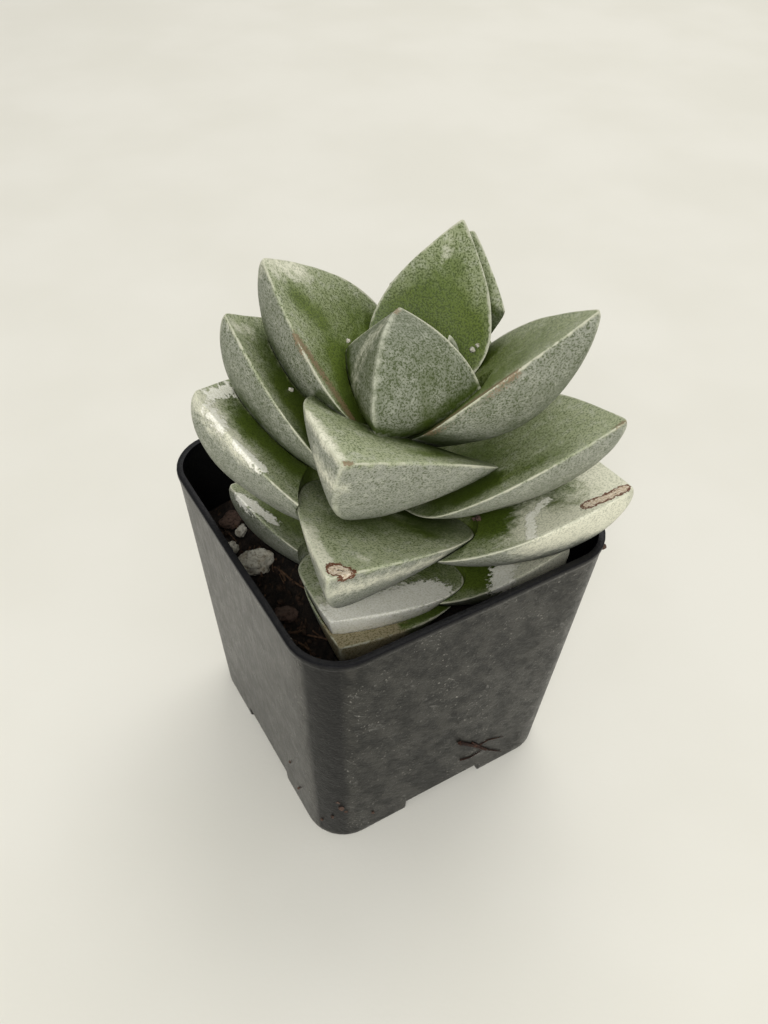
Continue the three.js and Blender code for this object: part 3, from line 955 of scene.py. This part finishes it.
def drain_holes():
    at = POT["base_width"] / 2 - DRAIN["inset"]
    angles = np.linspace(0, 2 * np.pi, 32, endpoint=False)
    holes = []
    for x, y in ((at, 0), (-at, 0), (0, at), (0, -at)):
        ring = np.column_stack([x + DRAIN["radius"] * np.cos(angles), y + DRAIN["radius"] * np.sin(angles)])
        levels = (STEP["height"] - 2, STEP["height"] + POT["wall"] + 2)
        holes.append(loft("hole", [np.column_stack([ring, np.full(len(ring), z)]) for z in levels]))
    return holes


def cavity(name, clearance, top):
    """The room inside the pot up to a height, less a clearance all round."""
    inset = POT["wall"] + clearance
    levels = np.linspace(POT["floor"] + clearance, top, 26)
    room = loft(name, [pot_ring(inset, z) for z in levels])
    steps = step_blocks(inset)
    combine(room, steps, "DIFFERENCE")
    remove(steps)
    return room


def pot_keep_out():
    """All below the rim but the pot's free room."""
    far = 150
    top = POT["height"] + CAD_GAP
    outside = block("keep_out", (-far, -far, -far), (far, far, top))
    room = cavity("room", CAD_GAP, top + 5)
    combine(outside, [room], "DIFFERENCE")
    remove([room])
    return outside


def warp_pot(points):
    """Thin moulded walls bow a little, most at the rim."""
    share = np.clip(points[:, 2] / POT["height"], 0, 1) ** 1.5
    x_side = np.abs(points[:, 0]) > np.abs(points[:, 1])
    reach = np.where(x_side, points[:, 1], points[:, 0]) / (POT["rim_width"] / 2)
    bow = (1 - np.clip(np.abs(reach), 0, 1) ** 2) * share
    wobble = noise_at(points * (1, 1, 0.5), WALL_BOW["size"], 4)
    push = bow * (WALL_BOW["usual"] + WALL_BOW["wobble"] * wobble)
    moved = points.copy()
    sign = np.sign(points)
    moved[:, 0] += np.where(x_side, sign[:, 0] * push, 0)
    moved[:, 1] += np.where(x_side, 0, sign[:, 1] * push)
    return moved


def make_pot(material):
    height = POT["height"]
    levels = [*FOOT_ROUNDING, *np.linspace(1.5, height - 1.6, 30)]
    profile = [(FOOT_ROUNDING.get(z, 0), z) for z in levels]
    profile += [(-LIP * share, height - drop) for drop, share in RIM_DROPS]
    profile += [(0.1, height), (0.6, height)]
    pot = loft("pot_shell", [pot_ring(inset, z) for inset, z in profile])
    cutters = [cavity("pot_room", 0, height + 3), *step_blocks(0), *drain_holes()]
    combine(pot, cutters, "DIFFERENCE")
    remove(cutters)
    points = coordinates(pot)
    level = points[:, 2]
    # Painted shade: all that lies within the flat walls is darker, the inside and the rounded corners with
    # it.
    within = np.abs(points[:, :2]).max(1) < pot_width(level) / 2 - 0.6 * POT["wall"]
    add_attribute(pot, "inside_shade", within & (level > 1))
    add_attribute(pot, "lip", ease(level, height - 1.0, height - 0.6))
    move_points(pot, warp_pot(points))
    dress(pot, material, "pot_plastic", "pot", limit=POT_EDGE)


# -------- stem, roots and soil

def tube_rings(path, radii, around):
    """Rings round a path of points."""
    path = np.asarray(path, float)
    tangents = np.gradient(path, axis=0)
    rings = []
    side = np.cross(tangents[0], (0.31, 0.87, 0.12))
    for point, tangent, radius in zip(path, tangents, radii):
        tangent = tangent / np.linalg.norm(tangent)
        side = side - tangent * side.dot(tangent)
        side /= np.linalg.norm(side)
        other = np.cross(tangent, side)
        angles = np.linspace(0, 2 * np.pi, around, endpoint=False)
        rings.append(point + radius * (np.cos(angles)[:, None] * side + np.sin(angles)[:, None] * other))
    return rings


def stem_solid(name, grow):
    top = SOIL_TOP + max(leaf["height"] for leaf in LEAVES) + STEM["tip_above_bud"]
    bottom = SOIL_TOP - STEM["root_depth"]
    radius = STEM["radius"]
    knots = ((bottom, STEM["root_share"] * radius), (SOIL_TOP - 2 * radius, radius),
             (top - 2 * radius, radius), (top, STEM["top_share"] * radius))
    levels = np.linspace(bottom - grow, top + grow, 60)
    radii = np.interp(levels, *zip(*knots)) + grow
    if not grow:
        radii *= 1 - STEM_RINGS["depth"] * (1 + np.sin(levels * STEM_RINGS["pace"]))
    return loft(name, tube_rings([(STEM["x"], STEM["y"], z) for z in levels], radii, 24))


def root_path(index, extra):
    angle = 2 * math.pi * index / ROOT["count"]
    start = SOIL_TOP - ROOT["start"] - ROOT["spacing"] * index
    reach = ROOT["reach"] + extra
    t = np.linspace(0, 1, 24)
    distance = 2 * t * (1 - t) * ROOT["bend_reach"] * reach + t * t * reach
    drop = 2 * t * (1 - t) * ROOT["bend_drop"] * ROOT["drop"] + t * t * ROOT["drop"]
    return np.column_stack([STEM["x"] + distance * math.cos(angle), STEM["y"] + distance * math.sin(angle),
                            start - drop])


def stem_with_roots(name, grow):
    stem = stem_solid(name, grow)
    roots = []
    for index in range(ROOT["count"]):
        path = root_path(index, grow)
        taper = np.ones(24) if grow else np.linspace(1, ROOT_END, 24)
        roots.append(loft("root", tube_rings(path, ROOT["radius"] * taper + grow, 12)))
    combine(stem, roots, "UNION")
    remove(roots)
    return stem


def make_stem(material):
    stem = stem_with_roots("stem_and_roots", 0)
    dress(stem, material, "stem_tissue", "stem_with_roots")


def make_grains(kind, slot, rows, shape, material, rough, seed):
    """Rough grains in the room of their plain CAD solids."""
    model, faces = ball(5)
    for i, (x, y, radius) in enumerate(rows):
        points = model * (GRAIN_CORE + lumps_at(model, GRAIN_LUMPS, seed + i) * rough)[:, None]
        points = points * radius * (1, GRAIN_FLANK, shape["squash"])
        cosine, sine = math.cos(x + y), math.sin(x + y)
        spin = np.array([[cosine, -sine, 0], [sine, cosine, 0], [0, 0, 1]])
        height = 2 * radius * shape["squash"]
        points = points @ spin.T + (x, y, SOIL_TOP + (0.5 - shape["sink"]) * height)
        dress(mesh_piece(f"{kind}_{i + 1}", points, faces), material, slot, f"{slot}_{i + 1}")


def soil_height(points, tree):
    """The crumbly top, pressed under the leaves that lie on it."""
    below = SOIL_TOP - 25
    heights = SOIL_TOP - SOIL_SINK + lumps_at(points, SOIL_LUMPS, 1)
    for i, (x, y, _) in enumerate(points):
        hit = tree.ray_cast(Vector((x * MM, y * MM, below * MM)), UP, 40 * MM)[0]
        if hit:
            heights[i] = min(heights[i], hit.z / MM - CAD_GAP)
    return heights


def make_soil(leaves, material):
    model = bmesh.new()
    for leaf in leaves:
        model.from_mesh(leaf.data)
    tree = BVHTree.FromBMesh(model)
    model.free()
    floor = POT["floor"] + CAD_GAP
    inset = POT["wall"] + CAD_GAP
    rings = [pot_ring(inset, z) for z in np.linspace(floor, SOIL_TOP - 2.5, 12)]
    rim = pot_ring(inset, SOIL_TOP)
    for share in np.linspace(1, 0.02, SOIL_RINGS):
        ring = rim * (share, share, 1)
        ring[:, 2] = soil_height(ring, tree)
        rings.append(ring)
    soil = loft("soil_fill", rings)
    steps = step_blocks(inset)
    roots = stem_with_roots("root_room", CAD_GAP)
    combine(soil, [*steps, roots], "DIFFERENCE")
    remove([*steps, roots])
    keep_largest(soil)
    dress(soil, material, "potting_soil", "soil")
    return tree


def soil_reach():
    """Where loose bits end, 1 mm inside the wall."""
    return pot_width(SOIL_TOP) / 2 - POT["wall"] - 1


def open_places(rng, count, tree):
    """Random places on the soil that lie clear of the leaves and the pot."""
    half = soil_reach() - 0.5
    run = half - POT["rim_corner"]
    places = np.zeros((count, 3))
    places[:, :2] = rng.uniform(-half, half, (count, 2))
    places[:, 2] = soil_height(places, tree)
    over_corner = np.hypot(*np.maximum(np.abs(places[:, :2]) - run, 0).T) > half - run
    is_open = [tree.ray_cast(Vector(place) * MM, UP, 5 * MM)[0] is None for place in places]
    return places[~over_corner & is_open]


def make_crumbs(tree, crumb_material, fibre_material):
    """Bits of peat and bark, and loose fibres, on the open soil."""
    rng = np.random.default_rng(CRUMB_SEED)
    shape, faces = ball(2)
    crumbs = []
    for i, place in enumerate(open_places(rng, CRUMBS, tree)):
        lumpy = shape * (0.85 + 0.35 * noise_at(shape, 0.8, i))[:, None]
        size = rng.uniform(*CRUMB_SIZE) * rng.uniform(0.6, 1.3, 3)
        crumbs.append((lumpy * size + place, faces))
    dress(joined("soil_crumbs", crumbs), crumb_material, "potting_soil")
    fibres = []
    for place in open_places(rng, FIBRES, tree):
        length = rng.uniform(*FIBRE_LENGTH)
        angle = rng.uniform(0, 2 * np.pi)
        run = np.linspace(-0.5, 0.5, 9)
        bend = rng.uniform(-0.3, 0.3) * length * (run * run - 0.1)
        path = place + np.column_stack([
            run * length * np.cos(angle) - bend * np.sin(angle),
            run * length * np.sin(angle) + bend * np.cos(angle),
            0.35 + rng.uniform(-0.3, 0.3) * run * length,
        ])
        if np.abs(path[:, :2]).max() < soil_reach():
            fibres.append(loft_shell(tube_rings(path, np.full(9, rng.uniform(*FIBRE_RADIUS)), 6)))
    dress(joined("soil_fibres", fibres), fibre_material, "potting_soil")


def make_specks(pale_material, dark_material):
    """White crumbs that have caught on the leaves, dark ones on the pot, and a bead on its rim."""
    shape, faces = ball(3)
    for name, specks, material, slot in (
        ("leaf_crumbs", LEAF_CRUMBS, pale_material, "perlite"),
        ("pot_crumbs", POT_CRUMBS, dark_material, "potting_soil"),
    ):
        shells = []
        for i, (x, y, z, radius) in enumerate(specks):
            lumpy = shape * (0.8 + 0.5 * noise_at(shape, 0.9, 40 + i))[:, None]
            shells.append((lumpy * radius + (x, y, z), faces))
        dress(joined(name, shells), material, slot)


def make_wall_fibres(material):
    """Bits of root stuck to the outside of the pot's front wall."""
    shells = []
    for knots, radius in WALL_FIBRES:
        knots = np.array(knots, float)
        spread = np.linspace(0, len(knots) - 1, 24)
        x, z = (np.interp(spread, np.arange(len(knots)), knots[:, axis]) for axis in (0, 1))
        for line in (x, z):
            line[1:-1] = (line[2:] + line[:-2] + 2 * line[1:-1]) / 4
        y = -pot_width(z) / 2 - 0.7 * radius
        taper = radius * np.interp(spread, (0, 0.3, len(knots) - 1), (0.6, 1, 0.35))
        shells.append(loft_shell(tube_rings(np.column_stack([x, y, z]), taper, 8)))
    dress(joined("wall_fibres", shells), material, "stem_tissue")


# -------- camera, lights and floor

def make_camera():
    azimuth, elevation, roll = (math.radians(CAMERA[key]) for key in ("azimuth", "elevation", "roll"))
    turn = Matrix.Rotation(azimuth, 4, "Z") @ Matrix.Rotation(math.pi / 2 - elevation, 4, "X")
    turn = turn @ Matrix.Rotation(roll, 4, "Z")
    place = Vector(CAMERA["target"]) + turn @ UP * CAMERA["distance"]
    data = bpy.data.cameras.new("camera")
    data.lens = CAMERA["lens"]
    data.sensor_width = CAMERA["sensor"]
    data.clip_start = CAMERA["clip_start"] * MM
    camera = bpy.data.objects.new("camera", data)
    camera.matrix_world = Matrix.Translation(place * MM) @ turn
    bpy.context.scene.collection.objects.link(camera)
    bpy.context.scene.camera = camera


def area_light(name, place, target, size, watts, colour):
    data = bpy.data.lights.new(name, "AREA")
    data.size = size * MM
    data.energy = watts
    data.color = colour
    light = bpy.data.objects.new(name, data)
    light.location = Vector(place) * MM
    light.rotation_euler = (Vector(target) - Vector(place)).to_track_quat("-Z", "Y").to_euler()
    bpy.context.scene.collection.objects.link(light)


def make_stage():
    """Soft lights, a pale sky and a matt floor."""
    world = bpy.data.worlds.new("studio")
    world.use_nodes = True
    background = world.node_tree.nodes["Background"]
    background.inputs["Color"].default_value = SKY["colour"]
    background.inputs["Strength"].default_value = SKY["strength"]
    bpy.context.scene.world = world
    for light in LIGHTS:
        area_light(*light)

    paint = Paint("floor_paint", {"Specular IOR Level": 0.1})
    cloud = paint.noise(60, detail=3)
    grain = paint.noise(0.8, detail=2)
    colour = paint.mix(paint.rise(cloud, 0.3, 0.7), (0.69, 0.675, 0.605), (0.72, 0.705, 0.64))
    roughness = paint.rise(cloud, 0, 1, 0.85, 0.95)
    far = FLOOR_REACH
    corners = [(-far, -far, 0), (far, -far, 0), (far, far, 0), (-far, far, 0)]
    floor = mesh_piece("floor", corners, [(0, 1, 2, 3)])
    floor.data.materials.append(paint.finish(colour, roughness, paint.bump(grain, 0.02)))
    view = bpy.context.scene.view_settings
    view.view_transform = "Standard"
    view.look = "None"


# -------- the whole object

make_camera()
make_stage()
leaves = make_leaves(leaf_paint())
make_pot(pot_paint())
make_stem(earth_paint("stem_tissue"))
leaf_tree = make_soil(leaves, earth_paint("potting_soil"))
make_crumbs(leaf_tree, earth_paint("peat_crumbs"), earth_paint("peat_fibres"))
make_wall_fibres(earth_paint("root_bits"))
perlite = grain_paint("perlite")
bark = grain_paint("bark")
make_grains("perlite_grain", "perlite", PERLITE_GRAINS, PERLITE, perlite, rough=1.0, seed=10)
make_grains("bark_chip", "bark", BARK_CHIPS, BARK, bark, rough=0.8, seed=20)
make_specks(perlite, bark)
